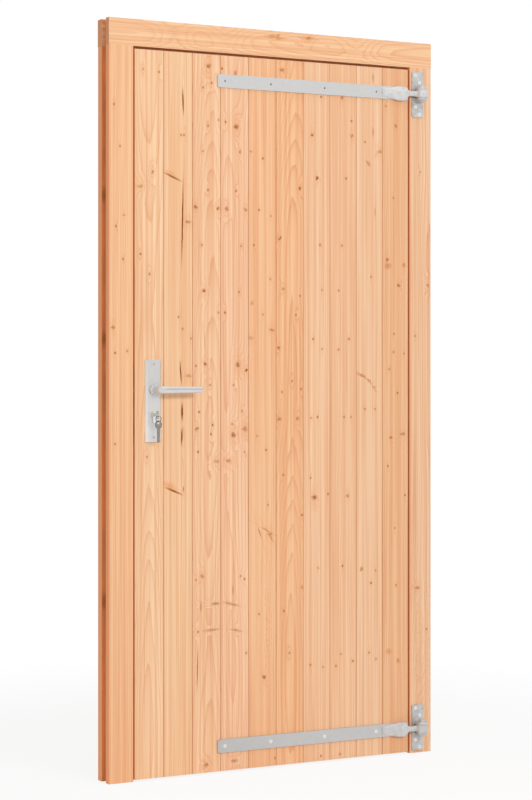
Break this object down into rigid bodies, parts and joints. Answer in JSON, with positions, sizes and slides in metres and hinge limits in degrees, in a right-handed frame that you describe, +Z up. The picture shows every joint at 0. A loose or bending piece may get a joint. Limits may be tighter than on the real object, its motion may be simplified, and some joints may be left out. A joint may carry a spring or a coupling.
{
  "type": "ledged and braced door",
  "caption": "Ledged and braced timber door of vertical boards in a rebated frame, on long strap hinges with cross plates, with lever handle, lock cylinder and keys.",
  "frame": {"origin": "centre of the hinge jamb's foot, on the floor", "axes": "+Z up, -Y out of the front face, +X along the front towards the hinge side"},
  "size_m": [1.1, 0.151, 2.2],
  "materials": {
    "timber": "planed, untreated Douglas fir",
    "hinge_steel": "hot-dip galvanised, mottled",
    "lever_aluminium": "satin anodised",
    "lock_steel": "zinc plated",
    "cylinder_nickel": "satin nickel plated",
    "key_nickel": "nickel plated",
    "ring_steel": "bare spring steel"
  },
  "bodies": {
    "frame": {"hinge_jamb": "timber", "lock_jamb": "timber", "head": "timber", "upper_hinge_plate": "hinge_steel", "lower_hinge_plate": "hinge_steel", "upper_hinge_pin": "hinge_steel", "lower_hinge_pin": "hinge_steel", "strike_plate": "lock_steel"},
    "leaf": {"board_01": "timber", "board_02": "timber", "board_03": "timber", "board_04": "timber", "board_05": "timber", "board_06": "timber", "board_07": "timber", "board_08": "timber", "board_09": "timber", "board_10": "timber", "top_ledge": "timber", "middle_ledge": "timber", "bottom_ledge": "timber", "upper_brace": "timber", "lower_brace": "timber", "upper_strap": "hinge_steel", "lower_strap": "hinge_steel", "outer_lever_plate": "lever_aluminium", "inner_lever_plate": "lever_aluminium", "lock_cylinder": "cylinder_nickel", "lock_forend": "lock_steel", "key": "key_nickel"},
    "lever": {"outer_lever": "lever_aluminium", "inner_lever": "lever_aluminium", "lever_spindle": "lock_steel"},
    "keys": {"key_ring": "ring_steel", "spare_key": "key_nickel"}
  },
  "joints": [
    {"name": "leaf_swing", "type": "hinge", "parent": "frame", "child": "leaf", "pos_m": [-0.0045, -0.0645, 0], "axis": [0, 0, 1], "range_deg": [0, 175]},
    {"name": "lever_turn", "type": "hinge", "parent": "leaf", "child": "lever", "pos_m": [-0.9155, -0.0245, 1.13], "axis": [0, 1, 0], "range_deg": [0, 45], "stiffness_Nm_per_rad": 1, "springref_deg": -45.84},
    {"name": "keys_swing", "type": "hinge", "parent": "leaf", "child": "keys", "pos_m": [-0.9155, -0.0765, 1.0548], "axis": [1, 0, 0], "range_deg": [-75, 12]}
  ]
}
